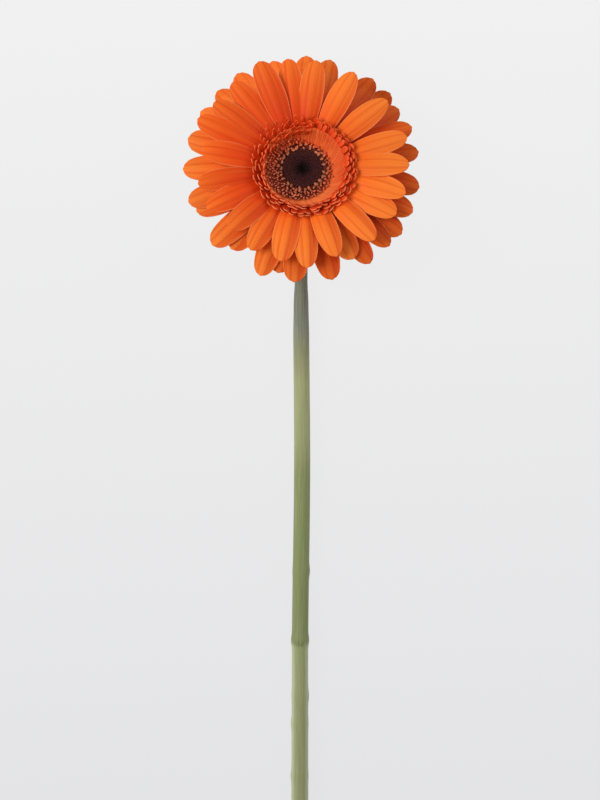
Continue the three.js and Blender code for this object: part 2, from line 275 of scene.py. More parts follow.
class Finish:
    """A material in the making."""

    def __init__(self, name, roughness, sheen=0.0):
        self.material = bpy.data.materials.new(name)
        self.material.use_nodes = True
        self.tree = self.material.node_tree
        self.shader = self.tree.nodes["Principled BSDF"]
        self.shader.inputs["Roughness"].default_value = roughness
        self.shader.inputs["Specular IOR Level"].default_value = 0.12
        self.shader.inputs["Sheen Weight"].default_value = sheen

    def carried(self, name):
        node = self.tree.nodes.new("ShaderNodeAttribute")
        node.attribute_name = name
        return Field(self.tree, node.outputs["Fac"])

    def object_place(self):
        parts = self.tree.nodes.new("ShaderNodeSeparateXYZ")
        feed(self.tree, parts.inputs[0], self.tree.nodes.new("ShaderNodeTexCoord").outputs["Object"])
        return [Field(self.tree, part) / MM for part in parts.outputs]

    def ramp(self, at, stops):
        """A colour read from (place, colour) stops."""
        low, high = stops[0][0], stops[-1][0]
        node = self.tree.nodes.new("ShaderNodeValToRGB")
        feed(self.tree, node.inputs[0], (at - low) / (high - low))
        elements = node.color_ramp.elements
        for _ in stops[2:]:
            elements.new(0.5)
        for element, (place, shade) in zip(elements, stops):
            element.position = (place - low) / (high - low)
            element.color = colour(*shade)
        return node.outputs["Color"]

    def mix(self, factor, one, other):
        node = self.tree.nodes.new("ShaderNodeMix")
        node.data_type = "RGBA"
        feed(self.tree, node.inputs["Factor"], factor)
        for name, shade in (("A", one), ("B", other)):
            place = next(s for s in node.inputs if s.name == name and s.type == "RGBA")
            feed(self.tree, place, colour(*shade) if isinstance(shade, tuple) else shade)
        return next(s for s in node.outputs if s.type == "RGBA")

    def brightened(self, shade, by):
        """The shade times a number."""
        node = self.tree.nodes.new("ShaderNodeVectorMath")
        node.operation = "SCALE"
        feed(self.tree, node.inputs[0], shade)
        feed(self.tree, node.inputs["Scale"], by)
        return node.outputs[0]

    def effect(self, group, **given):
        node = self.tree.nodes.new("ShaderNodeGroup")
        node.node_tree = group
        for name, value in given.items():
            feed(self.tree, node.inputs[name], value)
        return Field(self.tree, node.outputs[0])

    def done(self, shade, height=None, depth=0.0):
        """Lays on the colour, and a relief of that depth in millimetres."""
        feed(self.tree, self.shader.inputs["Base Color"], shade)
        if height is not None:
            bump = self.tree.nodes.new("ShaderNodeBump")
            bump.inputs["Distance"].default_value = depth * MM
            feed(self.tree, bump.inputs["Height"], height)
            feed(self.tree, self.shader.inputs["Normal"], bump.outputs[0])
        return self.material


def streaks_group():
    """Fine uneven streaks that run along a stalk or a petal, from 0 to 1."""
    tree = bpy.data.node_groups.new("lengthwise_streaks", "ShaderNodeTree")
    for name in ("Across", "Along", "Plant"):
        tree.interface.new_socket(name, in_out="INPUT", socket_type="NodeSocketFloat")
    tree.interface.new_socket("Streaks", in_out="OUTPUT", socket_type="NodeSocketFloat")
    given, joined = tree.nodes.new("NodeGroupInput"), tree.nodes.new("ShaderNodeCombineXYZ")
    for name, place in zip(("Across", "Along", "Plant"), joined.inputs):
        tree.links.new(given.outputs[name], place)
    noise = tree.nodes.new("ShaderNodeTexNoise")
    noise.inputs["Scale"].default_value = 1
    noise.inputs["Detail"].default_value = 3
    tree.links.new(joined.outputs[0], noise.inputs["Vector"])
    streaks = smooth(Field(tree, noise.outputs["Fac"]), 0.3, 0.7)
    tree.links.new(streaks.socket, tree.nodes.new("NodeGroupOutput").inputs[0])
    return tree


STREAKS = streaks_group()


def scape_finish():
    finish = Finish("scape_skin", roughness=0.5, sheen=0.2)
    along, around = finish.carried("along"), finish.carried("around")
    fine = finish.effect(STREAKS, Across=around * 9, Along=along * 0.05, Plant=0.0)
    broad = finish.effect(STREAKS, Across=around * 2.2, Along=along * 0.022, Plant=3.0)
    # The skin ramp's dark grey near the neck is painted shadow of the head.
    shade = finish.mix(0.35 * fine, finish.ramp(along, SCAPE_COLOURS), (176, 182, 140))
    shade = finish.mix(0.3 * broad, shade, (124, 134, 80))
    # A painted highlight on both flanks of the stalk below the scar.
    flank_highlight = smooth(abs(cosine(around)), 0.45, 0.9) * (1 - smooth(along, *FLANK_HIGHLIGHT_BELOW))
    shade = finish.mix(0.55 * flank_highlight, shade, (206, 212, 180))
    marks = finish.effect(STREAKS, Across=around * 7, Along=along * 0.2, Plant=8.0)
    scar = hump(along, SCAR_Y, SCAR_WIDTH) * smooth(sine(around), 0.3, 0.9) * smooth(marks, 0.4, 0.7)
    shade = finish.mix(0.7 * scar, shade, (92, 98, 58))
    shade = finish.mix(finish.carried("cut"), shade, (206, 214, 170))
    return finish.done(shade, fine - 0.8 * scar, 0.12)


def scape():
    stalk = Growth("scape_growth", {"Neck bend radius": NECK_BEND_RADIUS, "Swelling": SWELLING})
    stalk.start_rod(around=48, along=330, Fill_Segments=5)
    across, up, level = stalk.position()
    path = CUT_END_Y + (level + 0.5) * SCAPE_LENGTH
    angle = worked("ARCTAN2", up, across)
    to_rim = worked("SQRT", across * across + up * up)
    y = lesser(path, BEND_START_Y)
    turn = greater(path - BEND_START_Y, 0) / stalk.size("Neck bend radius")
    swollen = 0
    for at, side in SWELLINGS:
        facing = 1 if side is None else greater(cosine(angle - side), SWELLING_BACK)
        swollen = swollen + hump(y, at, SWELLING_LENGTH) * facing
    taper = eased(SCAPE_RADII, y)
    radius = taper + stalk.size("Swelling") * swollen
    cut = 1 - smooth(path, CUT_END_Y, CUT_END_Y + CUT_EDGE)
    dish = 1 - smooth(to_rim, 0.55, 1)
    stalk.keep(along=path, around=angle, cut=cut * (1 - smooth(to_rim, 0.9, 1)))
    bend = stalk.size("Neck bend radius") - up * radius
    stalk.place(
        across * radius + eased(SCAPE_SWAY, y),
        y + cut * (CUT_SLANT * (up * radius + taper) + CUT_DISH * dish) + bend * sine(turn),
        taper + stalk.size("Swelling") + stalk.size("Neck bend radius") - bend * cosine(turn),
    )
    stalk.grown("stalk", [{}], scape_finish(), "root", "scape", "scape")


scape()

# Involucre: the green cup under the flower, of firm downy tissue. Narrow pointed bracts grow from it in
# overlapping turns, and their tips spread under the petals.
RECEPTACLE_TOP = 10.6
SEAT = 10.9
GOLDEN_ANGLE = math.pi * (3 - math.sqrt(5))
CUP_FOOT = 0.3
CUP_WALL = [(0.3, 2.7), (1.2, 5.6), (3.2, 8.8), (6, 11.2), (8.6, 12.5), (10.6, 13)]
CUP_TOP_COLOUR = (120, 138, 82)
BRACTS = 62
BRACT_LENGTH = 6.4
BRACT_WIDTH = 2.5
BRACT_THICKNESS = 0.4
BRACT_ROOTS = (1.0, 5.4)
BRACT_SLOPE = math.radians(62)
BRACT_SPREAD = 0.9
TOP_BRACT_SPREAD = 1.6
TOP_BRACT_SLANT = 0.13
BRACT_STAND_OFF = 0.15
BRACT_KEEL = 0.35
BRACT_CUP = 0.35
BRACT_TIP_COLOUR = (140, 112, 78)


def drawn(i, salt):
    """A number from -1 to 1 that looks random and is the same each run."""
    x = math.sin(i * 12.9898 + salt * 78.233) * 43758.5453
    return 2 * (x - math.floor(x)) - 1


def between(rows, at):
    """Reads a table of (place, value) rows along straight lines."""
    total = rows[0][1]
    for (low, before), (high, after) in zip(rows, rows[1:]):
        share = worked("MULTIPLY", at - low, 1 / (high - low))
        total = total + (after - before) * lesser(greater(share, 0), 1)
    return total


def lying(azimuth, r, h, slope, across, lift):
    """A point of a blade whose spine is at radius r and height h, as x, y and z of the head's frame."""
    out = r - lift * sine(slope)
    turned, aside = cosine(azimuth), sine(azimuth)
    return out * turned + across * aside, out * aside - across * turned, h + lift * cosine(slope)


def on_flower(growth, x, y, z):
    """Places a point of the head's frame, which is tilted on the end of the neck."""
    tilt_along, tilt_up = math.cos(HEAD_TILT), math.sin(HEAD_TILT)
    growth.place(x, NECK_END_Y + y * tilt_along + z * tilt_up, NECK_END_Z - y * tilt_up + z * tilt_along)


def involucre_finish(name, tip):
    finish = Finish(name, roughness=0.75, sheen=0.45)
    along, across, plant = finish.carried("along"), finish.carried("across"), finish.carried("plant")
    veins = finish.effect(STREAKS, Across=across * 3, Along=along * 1.5, Plant=plant)
    shade = finish.ramp(along, [(0, (92, 112, 62)), (0.6, (116, 134, 78)), (1, tip)])
    shade = finish.mix(0.35 * veins, shade, (150, 160, 112))
    return finish.done(shade, veins, 0.15)


def involucre():
    cup = Growth("cup_growth", {"Height": RECEPTACLE_TOP})
    cup.start_rod(around=64, along=24, Fill_Segments=2)
    x, y, level = cup.position()
    height = CUP_FOOT + (level + 0.5) * (cup.size("Height") - CUP_FOOT)
    radius = between(CUP_WALL, height)
    cup.keep(along=(level + 0.5) * 0.5, across=worked("ARCTAN2", y, x) * 4)
    on_flower(cup, x * radius, y * radius, height)
    finish = involucre_finish("cup_skin", CUP_TOP_COLOUR)
    cup.grown("involucre_cup", [{"plant": 0}], finish, "root", "involucre", "involucre")

    sizes = {"Length": BRACT_LENGTH, "Width": BRACT_WIDTH, "Thickness": BRACT_THICKNESS}
    bracts = Growth("bract_growth", {**sizes, "Spread": BRACT_SPREAD, "Slope": BRACT_SLOPE})
    bracts.start_blade(across=5, along=9)
    v, level, side = bracts.position()
    s = level + 0.5
    share = bracts.carried("share")
    height = bracts.carried("root") + bracts.size("Length") * s * (1 - TOP_BRACT_SLANT * share * s)
    wall = between(CUP_WALL, lesser(height, RECEPTACLE_TOP))
    r = wall + bracts.size("Spread") * s * s + TOP_BRACT_SPREAD * share * s**3 + BRACT_STAND_OFF
    half = bracts.size("Width") / 2 * (0.8 + 0.7 * s - 1.42 * s**2)
    keel = BRACT_KEEL * (1 - abs(v)) * s
    bracts.keep(along=s, across=v)
    lift = -(keel - BRACT_CUP * v * v) + side * bracts.size("Thickness") / 2
    on_flower(bracts, *lying(bracts.carried("azimuth"), r, height, bracts.size("Slope"), v * half, lift))
    plants = [
        {
            "azimuth": i * GOLDEN_ANGLE,
            "share": i / (BRACTS - 1),
            "root": BRACT_ROOTS[0] + (BRACT_ROOTS[1] - BRACT_ROOTS[0]) * i / (BRACTS - 1),
            "plant": 4 * drawn(i, 31),
        }
        for i in range(BRACTS)
    ]
    finish = involucre_finish("bract_skin", BRACT_TIP_COLOUR)
    bracts.grown("involucre_bracts", plants, finish, "root", "involucre", "involucre")


involucre()

# Ray florets: the long orange petals, thin and soft, grown from one ring in a front whorl that rises like a
# shallow bowl and a back whorl that lies flat behind it. The far ones droop until their tips lie flat.
# Each petal's azimuth in degrees, its reach and the layer it lies in. Back petals without one take turns.
FRONT_PETALS = [
    (13.5, 49.5, 0.2), (36.5, 49, 1), (60.5, 49.5, 0.7), (83, 49.5, 0), (97, 50.5, -1), (112, 52, 1),
    (130, 50, -0.5), (145.5, 49.5, 0.8), (157, 52, -0.8), (173, 46.5, 0.8), (193, 48.5, -0.2),
    (207, 48.5, -1), (225, 46, 1), (241, 48, -0.1), (258, 48.5, 1), (273, 50.5, -1), (289, 48, 1),
    (311, 50, 0.8), (329, 49.5, -1), (343, 49.5, 0), (359, 49, 1),
]
BACK_PETALS = [
    (9, 54), (21.5, 54), (32.5, 53.5), (41.5, 55), (54, 55), (75.5, 54.5), (87.5, 55), (104, 54),
    (123, 55.5), (136, 54.5), (149.5, 54.5), (166, 54), (181, 54.5), (198.5, 54.5), (203.5, 52.5),
    (223, 55.5), (230, 50.5), (250.5, 55.5), (258, 51.5), (267, 55.5), (284.5, 55.5), (298, 50.5, 4),
    (303.5, 55.5), (316, 55), (325, 55.5), (336, 55), (350.5, 54.5),
]
# Petals are painted deeper in colour about one azimuth, as shade: front petals there face away from the
# light, and back ones lie in their neighbours' shade. The colour deepens between two cosines of the angle
# from it.
FRONT = {
    "back": 0.0, "salt": 1, "width": 11.4, "root": 12.6, "rise": 0.42, "arch": 0.2, "blunter": -0.2,
    "shaded_side": math.radians(160), "shaded_cosines": (-0.75, 1),
}
BACK = {
    "back": 1.0, "salt": 2, "width": 12.2, "root": 11.9, "rise": 0.13, "arch": 0.1, "blunter": 0.1,
    "shaded_side": math.radians(-15), "shaded_cosines": (-0.35, 0.6),
}
# A back petal that reaches no farther than the first of these lies in front of the rest, out of their shade,
# and gets none of the painted shade.
SHADED_REACH = (50, 52)
RAY_ROOT = 11.5
RAY_THICKNESS = 0.42
RAY_CROWN = 1.5
RAY_ROLL = 0.07
RAY_SWAY = 0.7
WIDTH_SPREAD = 0.07
RISE_SPREAD = 0.012
CLAW_WIDTH = 0.24
CLAW_SWELL = 1.15
WIDEST_AT = 0.62
TIP_BLUNTNESS = 2.4
BLUNTNESS_SPREAD = 0.2
TIP_ROUNDING = 0.07
# Rows of the mesh crowd towards the tip and towards the margins.
TIP_CROWDING = 1.35
MARGIN_CROWDING = 0.3
TOOTH_DEPTH = 0.006
TOOTH_AT = 0.3
TOOTH_WIDTH = 0.13
MARGIN_CURL = 0.5
# A pair of grooves beside the midrib and a fainter pair outside them. They are shallower on the lit side.
GROOVE = 0.28
GROOVE_AT = 0.36
GROOVE_WIDTH = 0.15
OUTER_GROOVE = 0.5
OUTER_GROOVE_WIDTH = 0.12
GROOVE_SPREAD = 0.3
LIT_SIDE = math.radians(-15)
LIT_SHALLOWER = 0.6
RAY_LAYER = 0.65
RAY_PARTED = 0.15
DROOP_SINES = (0.3, 0.75)
DROOP_PRESS = 6
# The edge away from the light is painted in deeper shade, most of all on the near petals and least on the
# side ones.
FAR_EDGE = 1.2
NEAR_PETAL_EDGE = 0.5
SIDE_PETAL_EDGE = 0.2
BACK_SHADE = 0.22
RAY_TONE_SPREAD = 0.05
# Petal colours along the petal. The deep ones are a painted shade copy of the pale ones.
PALE_PETAL = [(0, (226, 68, 16)), (0.35, (250, 108, 28)), (0.7, (255, 128, 46)), (1, (255, 134, 50))]
SHADED_PETAL = [(0, (190, 36, 8)), (0.35, (224, 60, 14)), (0.7, (236, 80, 20)), (1, (246, 104, 30))]


def ease(value, low, high):
    share = min(max((value - low) / (high - low), 0), 1)
    return share * share * (3 - 2 * share)


def above_table(y, z):
    return NECK_END_Z - y * math.sin(HEAD_TILT) + z * math.cos(HEAD_TILT)


def ray_petals(whorl, petals):
    """The numbers of each petal of a whorl."""
    plants = []
    for i, (degrees, reach, *layer) in enumerate(petals):
        azimuth = math.radians(degrees)
        to_right, to_far = math.cos(azimuth), math.sin(azimuth)
        rise = whorl["rise"] + RISE_SPREAD * drawn(i, whorl["salt"] + 2)
        length = reach - RAY_ROOT
        layer = RAY_LAYER * (layer[0] if layer else (-1, 1)[i % 2])
        to_light = math.cos(azimuth - LIT_SIDE)
        tip_up = whorl["root"] + layer + length * (rise - whorl["arch"])
        droop = whorl["back"] * ease(to_far, *DROOP_SINES)
        in_shade = ease(reach, *SHADED_REACH) if whorl["back"] else 1
        edge = to_far * (FAR_EDGE - NEAR_PETAL_EDGE * to_far) + SIDE_PETAL_EDGE * to_right
        uneven = GROOVE_SPREAD * drawn(i, whorl["salt"] + 8)
        plants.append(
            {
                "azimuth": azimuth,
                "length": length,
                "width": whorl["width"] * (1 + WIDTH_SPREAD * drawn(i, whorl["salt"])),
                "root": whorl["root"],
                "layer": layer,
                "rise": rise,
                "arch": whorl["arch"],
                "sway": RAY_SWAY * drawn(i, whorl["salt"] + 4),
                "drop": droop * (above_table(reach * to_far, tip_up) + DROOP_PRESS),
                "groove": GROOVE * (1 - LIT_SHALLOWER * to_light + uneven),
                "blunt": TIP_BLUNTNESS + whorl["blunter"] + BLUNTNESS_SPREAD * drawn(i, whorl["salt"] + 10),
                "tone": drawn(i, whorl["salt"] + 6),
                # How much painted shade the petal gets.
                "deep": in_shade * ease(math.cos(azimuth - whorl["shaded_side"]), *whorl["shaded_cosines"]),
                "far_edge": edge,
                "back": whorl["back"],
            }
        )
    return plants


def ray_finish():
    finish = Finish("ray_petal_skin", roughness=0.5)
    along, across = finish.carried("along"), finish.carried("across")
    tone, deep, back = finish.carried("tone"), finish.carried("deep"), finish.carried("back")
    veins = finish.effect(STREAKS, Across=across * 7, Along=along * 1.6, Plant=tone * 20)
    broad = finish.effect(STREAKS, Across=across * 1.6, Along=along * 0.9, Plant=tone * 20 + 7)
    pale, painted_shade_colour = finish.ramp(along, PALE_PETAL), finish.ramp(along, SHADED_PETAL)
    # Painted shade: the deep colours, strongest about the petal's shaded azimuth and towards its root.
    shade = finish.mix(smooth(deep - 0.6 * (along - 0.5), 0, 1), pale, painted_shade_colour)
    # Darker in the grooves, painted shade in the creases, and along fine veins of the petal's own colour.
    groove = hump(abs(across), GROOVE_AT, 0.1)
    shade = finish.mix((0.4 * groove + 0.2 * veins) * (0.8 + 0.2 * deep), shade, (206, 54, 10))
    shade = finish.mix(0.2 * broad, shade, (252, 122, 38))
    # Painted shade on the edge away from the light.
    far_side = smooth(across * finish.carried("far_edge"), 0.1, 0.7)
    shade = finish.mix(0.45 * far_side, shade, (212, 56, 14))
    # A pale margin, with a painted highlight that is stronger on the edge away from the light, where it curls
    # up.
    margin = smooth(abs(across), 0.9, 0.97)
    shade = finish.mix((0.45 + 0.35 * far_side) * margin, shade, (255, 150, 90))
    shade = finish.mix(0.4 * (1 - finish.carried("side")), shade, (240, 120, 50))
    # Back petals are darkened further by painted shade where deep, and each petal's tone differs at random.
    shade = finish.brightened(shade, 1 + RAY_TONE_SPREAD * tone - BACK_SHADE * back * deep)
    return finish.done(shade, veins, 0.08)


def ray_florets():
    sizes = {"Thickness": RAY_THICKNESS, "Crown": RAY_CROWN, "Margin curl": MARGIN_CURL}
    rays = Growth("ray_growth", sizes)
    rays.start_blade(across=23, along=34)
    place, level, side = rays.position()
    v = place * (1 + MARGIN_CROWDING - MARGIN_CROWDING * place * place)
    row = 1 - worked("POWER", greater(0.5 - level, 0), TIP_CROWDING)
    azimuth, length, sway = rays.carried("azimuth"), rays.carried("length"), rays.carried("sway")
    set_back = TIP_ROUNDING * smooth(row, 0.5, 1)
    tooth = hump(abs(v), TOOTH_AT, TOOTH_WIDTH) * smooth(row, 0.92, 1)
    s = row - set_back * v * v - TOOTH_DEPTH * tooth
    rays.keep(along=s, across=v, side=side)
    edge = row - set_back
    to_widest = lesser(greater(edge / WIDEST_AT, 0), 1)
    to_tip = greater((edge - WIDEST_AT) / (1 - WIDEST_AT), 0)
    swell = CLAW_WIDTH + (1 - CLAW_WIDTH) * sine(math.pi / 2 * to_widest) ** CLAW_SWELL
    blunt = rays.carried("blunt")
    oval = worked("POWER", 1 - worked("POWER", to_tip, blunt), worked("DIVIDE", 1, blunt))
    half = rays.carried("width") / 2 * swell * oval
    rise, arch = rays.carried("rise"), rays.carried("arch")
    r = RAY_ROOT + length * s
    layer = rays.carried("layer") * smooth(s, 0, RAY_PARTED)
    h = rays.carried("root") + layer + length * s * (rise - arch * s)
    slope = worked("ARCTANGENT", rise - 2 * arch * s)
    crown = rays.size("Crown") * sine(math.pi * lesser(s, 1)) ** 0.8
    ripple = hump(abs(v), GROOVE_AT, GROOVE_WIDTH)
    ripple = ripple + OUTER_GROOVE * hump(abs(v), 2 * GROOVE_AT, OUTER_GROOVE_WIDTH)
    groove = rays.carried("groove") * ripple * smooth(s, 0.05, 0.35) * (1 - 0.7 * smooth(s, 0.75, 1))
    curl = rays.size("Margin curl") * smooth(abs(v), 0.75, 1)
    curl = curl * smooth(s, 0.25, 0.6) * (1 - smooth(s, 0.85, 1))
    arched = crown * (1 - v * v) + RAY_ROLL * v * half * s - groove + curl
    across = v * half + sway * s * s
    fallen = rays.carried("drop") * s * s
    _, under_y, under_z = lying(azimuth, r, h, slope, across, arched - rays.size("Thickness") / 2)
    under = above_table(under_y, under_z) - fallen
    x, y, z = lying(azimuth, r, h, slope, across, arched + side * rays.size("Thickness") / 2)
    down = fallen + lesser(under, 0)
    on_flower(rays, x, y + down * math.sin(HEAD_TILT), z - down * math.cos(HEAD_TILT))
    plants = ray_petals(FRONT, FRONT_PETALS) + ray_petals(BACK, BACK_PETALS)
    rays.grown("ray_petals", plants, ray_finish(), "root", "ray_petals", "ray_florets")


ray_florets()

# Trans florets: the raised collar inside the rays, of about 160 short soft straps. Their tubes are packed
# into a flared ring with a finely folded inner slope, and their tips turn outwards over its rim.
COLLAR_WALL = [(0, 7.95, 11.6), (0.22, 10.4, 13.9), (0.58, 14.6, 17.4), (0.93, 18.6, 21.2), (1, 19.4, 20.8)]
# The collar and the disc lean over by this much for each millimetre of height, as x and y.
COLLAR_LEAN = (0.08, -0.22)
TUBES = 110
TUBE_BUNDLES = 63
TUBE_RELIEF = 0.04
# The tubes wander sideways in waves round the ring, and a second set of waves grows with the height.
TUBE_STRAY = 3
STRAY_WAVES = 5
RISING_WAVES = 3
# Folds gather the tubes in bundles. Two sets of waves, each a number round the ring and a height, shift them.
FOLD_RELIEF = 0.22
FOLD_WAVES = [(17, 1.5), (29, 1.2)]
RIDGE_INWARDS = 0.5
# Tubes and straps are combed over a little towards the far side of the flower.
TUBE_COMBING = 0.7
STRAP_COMBING = 0.7
# Each row's places are a radius and a height. A strap that lies over flat has its tip moved by the last pair.
TRANS_ROWS = [
    {
        "salt": 7, "count": 40,
        "root": (17.8, 17.6), "knee": (23.2, 19.5), "tip": (24.7, 21.3), "over": (-0.6, -0.3),
    },
    {
        "salt": 8, "count": 39,
        "root": (17.6, 18.1), "knee": (21.9, 20), "tip": (23, 22.1), "over": (0.6, -0.6),
    },
    {
        "salt": 9, "count": 38,
        "root": (17.6, 18.6), "knee": (20.5, 20.6), "tip": (21.4, 22.8), "over": (1.6, -0.9),
    },
    {
        "salt": 10, "count": 36,
        "root": (17.4, 19), "knee": (19.1, 21), "tip": (19.9, 23.2), "over": (2.8, -0.5),
    },
]
INNER_ROW = {
    "salt": 12, "count": 34,
    "root": (15.8, 18.2), "knee": (17, 20.4), "tip": (18.4, 23.2), "over": (0, 0),
}
TRANS_THICKNESS = 0.4
TRANS_COVER = 0.95
TRANS_WIDTH_SPREAD = 0.18
TRANS_OUT_SPREAD = 0.6
TRANS_UP_SPREAD = 0.5
TRANS_TURN_SPREAD = 0.35
TRANS_TONE_SPREAD = 0.12
TRANS_TWIST = 0.45
TRANS_CUP = 0.35
STRAP_NECK = 0.6
STRAP_WIDEST_AT = 0.7
STRAP_ROUNDING = 0.13
STRAP_CROWDING = 1.4
# Straps about this azimuth stay narrow and lean over to the flower's far side. The inner row is only there.
NARROW_AT = math.radians(122)
NARROW_SPAN = math.radians(40)
NARROWING = 0.7
NARROW_LEAN = 1.8
NARROW_REACH = 0.4
NARROW_RISE = 0.5
INNER_ROW_FROM = 0.3
# Outer straps about this azimuth are thin and longer than the rest, and a few of them are longer still.
LONG_AT = math.radians(130)
LONG_SPAN = math.radians(32)
LONG_REACH = 1.8
LONG_THINNING = 0.15
STRAY_REACH = 4
STRAY_FROM = 0.4
# Straps reach less far the more they point away from this azimuth.
FAR_REACH_AT = math.radians(-20)
REACH_LOSS = 1.5
# Straps about this azimuth lie over flat and are slender, and they differ less from each other.
FLAT_AT = math.radians(52)
FLAT_SPAN = math.radians(34)
FLAT_SLENDER = 0.3
FLAT_EVEN_UP = 0.7
FLAT_EVEN_TWIST = 0.3
FLAT_EVEN_TONE = 0.6
# Straps about this azimuth are painted brighter, as light on that side of the collar.
BRIGHT_AT = math.radians(80)
BRIGHT_SPAN = math.radians(60)
BRIGHTER = 0.15
# A painted highlight on the lip of a strap shows most on the near side of the flower.
LIP = 0.55
LIP_SWING = 0.45
LIP_SIDE = math.radians(-10)
# The disc florets spread up the slope to this radius, which is larger on one side of the flower.
BED_RADIUS = 14.7
BED_SHIFT = 3
BED_SIDE = math.radians(200)
# They also spread a little farther about this azimuth.
BED_BULGE = 1.7
BULGE_AT = math.radians(345)
# The slope between them is painted dark, as shade, and warmer about this azimuth, as light. The dark fades
# out over this width.
BED_LIT_SIDE = math.radians(80)
BED_FADE = (-1.2, 0.6)
# Strap colours along the strap, darker towards the root: painted shade between the rows.
STRAP_COLOURS = [(0, (221, 63, 17)), (0.55, (229, 70, 22)), (0.8, (236, 81, 30)), (1, (244, 94, 42))]
SLOPE_COLOURS = [(0, (130, 44, 20)), (0.3, (224, 96, 46)), (0.6, (232, 94, 40)), (1, (222, 70, 26))]


def near(azimuth, middle, span):
    """1 at the middle azimuth, fading to 0 on both sides."""
    return math.exp(-(((azimuth - middle) / span) ** 2))


def strap_finish():
    finish = Finish("collar_strap_skin", roughness=0.5)
    along, across, tone = finish.carried("along"), finish.carried("across"), finish.carried("tone")
    veins = finish.effect(STREAKS, Across=across * 3, Along=along * 1.5, Plant=tone * 20)
    # A painted highlight on the lip, strongest on the near side of the flower.
    lip = smooth(along, 0.86, 0.97) * finish.carried("lip")
    shade = finish.mix(lip, finish.ramp(along, STRAP_COLOURS), (255, 142, 92))
    shade = finish.mix(0.25 * veins, shade, (206, 60, 20))
    shade = finish.brightened(shade, 1 + tone)
    return finish.done(shade, veins, 0.08)


def collar_finish():
    finish = Finish("collar_tube_skin", roughness=0.5)
    along, across, bed = finish.carried("along"), finish.carried("across"), finish.carried("bed")
    veins = finish.effect(STREAKS, Across=across * 18, Along=along * 3, Plant=2.0)
    broad = finish.effect(STREAKS, Across=across * 9, Along=along * 3, Plant=6.0)
    shade = finish.mix(0.5 * veins, finish.ramp(along, SLOPE_COLOURS), (196, 58, 20))
    fold = finish.carried("fold")
    # Painted shade in the grooves between the folds, and a painted highlight on their ridges, with broad
    # paler streaks.
    shade = finish.mix(0.4 * smooth(fold, 0.5, 0), shade, (190, 52, 18))
    shade = finish.mix(0.3 * smooth(fold, 0.4, 1) + 0.3 * broad, shade, (255, 124, 58))
    around = finish.carried("around")
    # Painted light on the lower side of the slope, off the bed.
    painted_light_low_side = smooth(-sine(around), 0.2, 0.9)
    shade = finish.mix(0.5 * painted_light_low_side * (1 - bed), shade, (246, 134, 76))
    # Painted shade on the bed between the disc florets, warmer towards the lit side.
    painted_warmth = 0.5 + 0.5 * cosine(around - BED_LIT_SIDE)
    shade = finish.mix(bed, shade, finish.mix(painted_warmth, (112, 42, 24), (204, 76, 38)))
    return finish.done(shade, veins, 0.15)


def on_collar(growth, x, y, z):
    """Places a point of the collar or the disc, which lean over."""
    lean_x, lean_y = COLLAR_LEAN
    on_flower(growth, x + lean_x * (z - SEAT), y + lean_y * (z - SEAT), z)


def strap_row(row):
    """The numbers of each strap of a row."""
    salt, count = row["salt"], row["count"]
    (root_out, root_up), (knee_out, knee_up), (tip_out, tip_up) = row["root"], row["knee"], row["tip"]
    over_out, over_up = row["over"]
    innermost, outermost = TRANS_ROWS[-1]["tip"][0], TRANS_ROWS[0]["tip"][0]
    outer = max(tip_out - innermost, 0) / (outermost - innermost)
    plants = []
    for i in range(count):
        turn = i + 0.5 * (salt % 2) + TRANS_TURN_SPREAD * drawn(i, salt + 9)
        azimuth = 2 * math.pi * turn / count
        narrow = near(azimuth, NARROW_AT, NARROW_SPAN)
        flat = near(azimuth, FLAT_AT, FLAT_SPAN)
        if row is INNER_ROW and narrow < INNER_ROW_FROM:
            continue
        stray = STRAY_REACH * max(drawn(i, salt + 21) - STRAY_FROM, 0)
        extra = (LONG_REACH + stray) * outer * near(azimuth, LONG_AT, LONG_SPAN)
        loss = REACH_LOSS * (0.5 - 0.5 * math.cos(azimuth - FAR_REACH_AT))
        out = tip_out + TRANS_OUT_SPREAD * drawn(i, salt) + NARROW_REACH * narrow
        up = tip_up + TRANS_UP_SPREAD * drawn(i, salt + 5) * (1 - FLAT_EVEN_UP * flat) + NARROW_RISE * narrow
        width = 2 * math.pi * tip_out / count * TRANS_COVER * (1 + TRANS_WIDTH_SPREAD * drawn(i, salt + 3))
        width *= (1 - FLAT_SLENDER * flat) * (1 - NARROWING * narrow) / (1 + LONG_THINNING * extra)
        tone = TRANS_TONE_SPREAD * drawn(i, salt + 17) * (1 - FLAT_EVEN_TONE * flat)
        plants.append(
            {
                "azimuth": azimuth,
                "root_out": root_out,
                "root_up": root_up,
                "knee_out": knee_out,
                "knee_up": knee_up,
                "tip_out": out + over_out * flat + extra - loss,
                "tip_up": up + over_up * flat,
                "width": width,
                "lean": NARROW_LEAN * narrow - STRAP_COMBING * math.cos(azimuth),
                "lip": LIP - LIP_SWING * math.sin(azimuth - LIP_SIDE),
                "twist": TRANS_TWIST * drawn(i, salt + 13) * (1 - FLAT_EVEN_TWIST * flat),
                # Random tone, plus painted light about one azimuth.
                "tone": tone + BRIGHTER * near(azimuth, BRIGHT_AT, BRIGHT_SPAN),
            }
        )
    return plants


